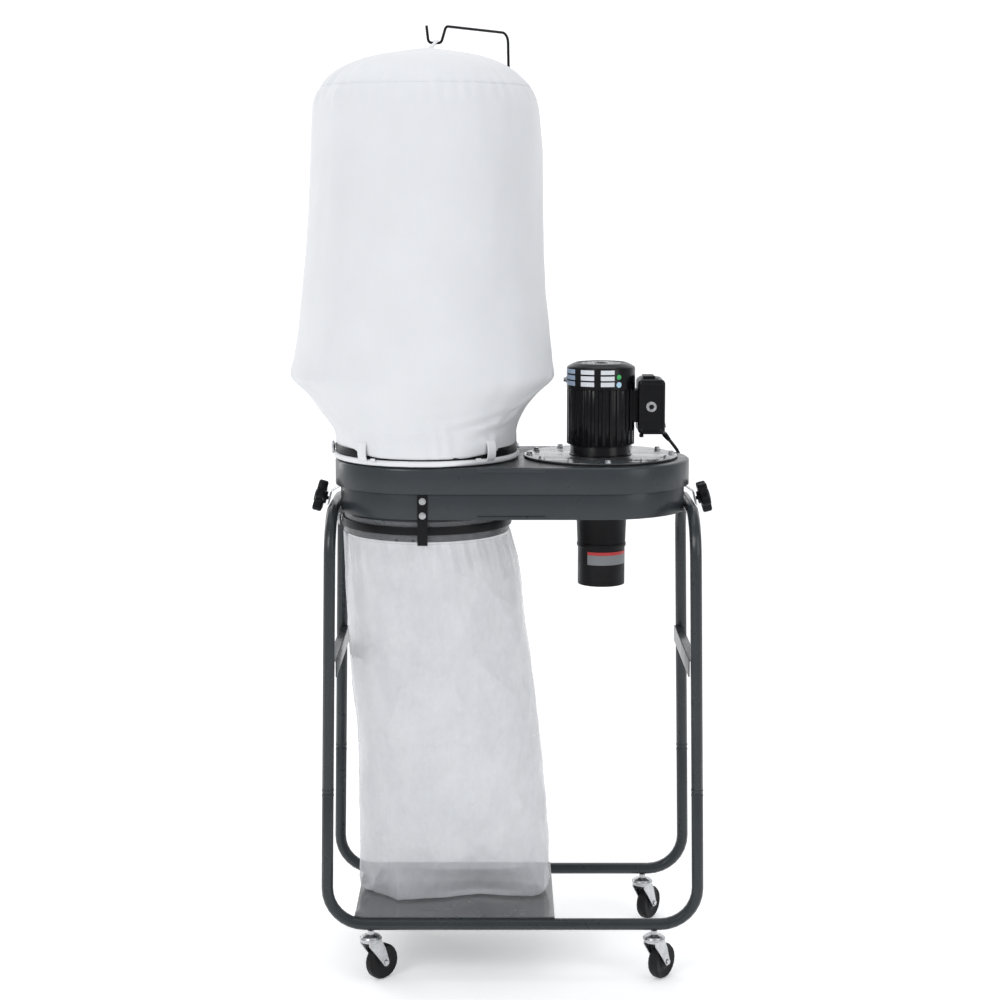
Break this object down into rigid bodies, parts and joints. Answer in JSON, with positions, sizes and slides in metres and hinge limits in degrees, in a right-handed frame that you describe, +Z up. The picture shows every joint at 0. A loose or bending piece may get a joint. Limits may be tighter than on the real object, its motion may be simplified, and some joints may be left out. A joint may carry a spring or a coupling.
{
  "type": "twin-bag dust collector",
  "caption": "Wheeled two-bag dust collector: tubular stand, obround blower housing, vertical motor, cloth filter bag above, clear waste bag and round hose inlet below.",
  "frame": {"origin": "on the floor, below the centre of the machine's overall box without its mains cord", "axes": "+Z up, along the machine's height; -Y is the front, where the inlet hose and waste bag are seen side by side; +X is the motor's side"},
  "size_m": [0.8872, 0.5501, 1.988],
  "materials": {
    "tube_paint": "smooth satin dark slate grey powder coat",
    "housing_paint": "satin slate grey sheet metal",
    "zinc": "bright zinc plate",
    "steel": "machined",
    "black_plastic": "satin moulded",
    "black_gloss": "glossy black enamel",
    "black_rubber": "matte",
    "filter_cloth": "white needled felt",
    "clear_film": "frosted translucent film",
    "copper": "wound copper and lamination"
  },
  "bodies": {
    "frame": {"front_lower_frame": "tube_paint", "rear_lower_frame": "tube_paint", "left_upper_frame": "tube_paint", "right_upper_frame": "tube_paint", "left_brace": "tube_paint", "right_brace": "tube_paint", "base_plate": "housing_paint", "lower_housing": "housing_paint", "upper_housing": "housing_paint", "filter_bag_collar": "housing_paint", "collection_bag_collar": "housing_paint", "filter_bag": "filter_cloth", "filter_bag_clamp_band": "black_plastic", "collection_bag": "clear_film", "collection_bag_clamp_band": "black_plastic", "retaining_strip": "black_plastic", "plate_gasket": "black_rubber", "motor_plate": "zinc", "motor_end_shield": "black_gloss", "motor_body": "black_gloss", "upper_end_shield": "steel", "stator": "copper", "lower_bearing": "steel", "upper_bearing": "steel", "fan_cover": "black_gloss", "switch_box": "black_plastic", "switch_box_lid": "black_plastic", "cable_gland": "black_plastic", "mains_cord": "black_rubber", "cord_coil": "black_rubber", "mains_plug": "black_rubber", "inlet_port": "black_plastic", "left_bracket": "zinc", "right_bracket": "zinc", "support_rod": "black_plastic", "front_left_caster_stem": "zinc", "front_right_caster_stem": "zinc", "rear_left_caster_stem": "zinc", "rear_right_caster_stem": "zinc"},
    "front_left_caster_swivel": {"front_left_caster_fork": "zinc", "front_left_caster_axle": "zinc"},
    "front_left_caster_roller": {"front_left_caster_wheel": "black_rubber"},
    "front_right_caster_swivel": {"front_right_caster_fork": "zinc", "front_right_caster_axle": "zinc"},
    "front_right_caster_roller": {"front_right_caster_wheel": "black_rubber"},
    "rear_left_caster_swivel": {"rear_left_caster_fork": "zinc", "rear_left_caster_axle": "zinc"},
    "rear_left_caster_roller": {"rear_left_caster_wheel": "black_rubber"},
    "rear_right_caster_swivel": {"rear_right_caster_fork": "zinc", "rear_right_caster_axle": "zinc"},
    "rear_right_caster_roller": {"rear_right_caster_wheel": "black_rubber"},
    "left_clamp_knob": {"left_knob": "black_plastic"},
    "right_clamp_knob": {"right_knob": "black_plastic"},
    "rotor": {"rotor_shaft": "steel", "rotor_core": "steel", "cooling_fan": "black_plastic", "impeller": "steel"},
    "rocker": {"rocker_switch": "black_gloss"},
    "filter_bag_lever": {"filter_bag_clamp_lever": "zinc"},
    "collection_bag_lever": {"collection_bag_clamp_lever": "zinc"}
  },
  "joints": [
    {"name": "front_left_caster_swivel_turn", "type": "hinge", "parent": "frame", "child": "front_left_caster_swivel", "pos_m": [-0.27945, -0.177, 0.09], "axis": [0, 0, 1], "continuous": true},
    {"name": "front_left_caster_wheel_roll", "type": "hinge", "parent": "front_left_caster_swivel", "child": "front_left_caster_roller", "pos_m": [-0.25824, -0.15722, 0.0375], "axis": [-0.682, 0.7314, 0], "continuous": true},
    {"name": "front_right_caster_swivel_turn", "type": "hinge", "parent": "frame", "child": "front_right_caster_swivel", "pos_m": [0.31455, -0.177, 0.09], "axis": [0, 0, 1], "continuous": true},
    {"name": "front_right_caster_wheel_roll", "type": "hinge", "parent": "front_right_caster_swivel", "child": "front_right_caster_roller", "pos_m": [0.3324, -0.15415, 0.0375], "axis": [-0.788, 0.6157, 0], "continuous": true},
    {"name": "rear_left_caster_swivel_turn", "type": "hinge", "parent": "frame", "child": "rear_left_caster_swivel", "pos_m": [-0.27945, 0.177, 0.09], "axis": [0, 0, 1], "continuous": true},
    {"name": "rear_left_caster_wheel_roll", "type": "hinge", "parent": "rear_left_caster_swivel", "child": "rear_left_caster_roller", "pos_m": [-0.26081, 0.19922, 0.0375], "axis": [-0.766, 0.6428, 0], "continuous": true},
    {"name": "rear_right_caster_swivel_turn", "type": "hinge", "parent": "frame", "child": "rear_right_caster_swivel", "pos_m": [0.31455, 0.177, 0.09], "axis": [0, 0, 1], "continuous": true},
    {"name": "rear_right_caster_wheel_roll", "type": "hinge", "parent": "rear_right_caster_swivel", "child": "rear_right_caster_roller", "pos_m": [0.33077, 0.20104, 0.0375], "axis": [-0.829, 0.5592, 0], "continuous": true},
    {"name": "left_knob_turn", "type": "hinge", "parent": "frame", "child": "left_clamp_knob", "pos_m": [-0.37295, 0, 1.001], "axis": [-0.9659, 0, 0.2588], "continuous": true},
    {"name": "right_knob_turn", "type": "hinge", "parent": "frame", "child": "right_clamp_knob", "pos_m": [0.40805, 0, 1.001], "axis": [0.9659, 0, 0.2588], "continuous": true},
    {"name": "rotor_spin", "type": "hinge", "parent": "frame", "child": "rotor", "pos_m": [0.20455, 0, 1.14], "axis": [0, 0, 1], "continuous": true},
    {"name": "rocker_press", "type": "hinge", "parent": "frame", "child": "rocker", "pos_m": [0.33705, -0.006, 1.1705], "axis": [0, 1, 0], "range_deg": [0, 12]},
    {"name": "filter_bag_lever_turn", "type": "hinge", "parent": "frame", "child": "filter_bag_lever", "pos_m": [-0.36013, -0.02, 1.113], "axis": [0, 0, 1], "range_deg": [0, 120]},
    {"name": "collection_bag_lever_turn", "type": "hinge", "parent": "frame", "child": "collection_bag_lever", "pos_m": [-0.3486, -0.02, 0.9585], "axis": [0, 0, 1], "range_deg": [0, 120]}
  ]
}
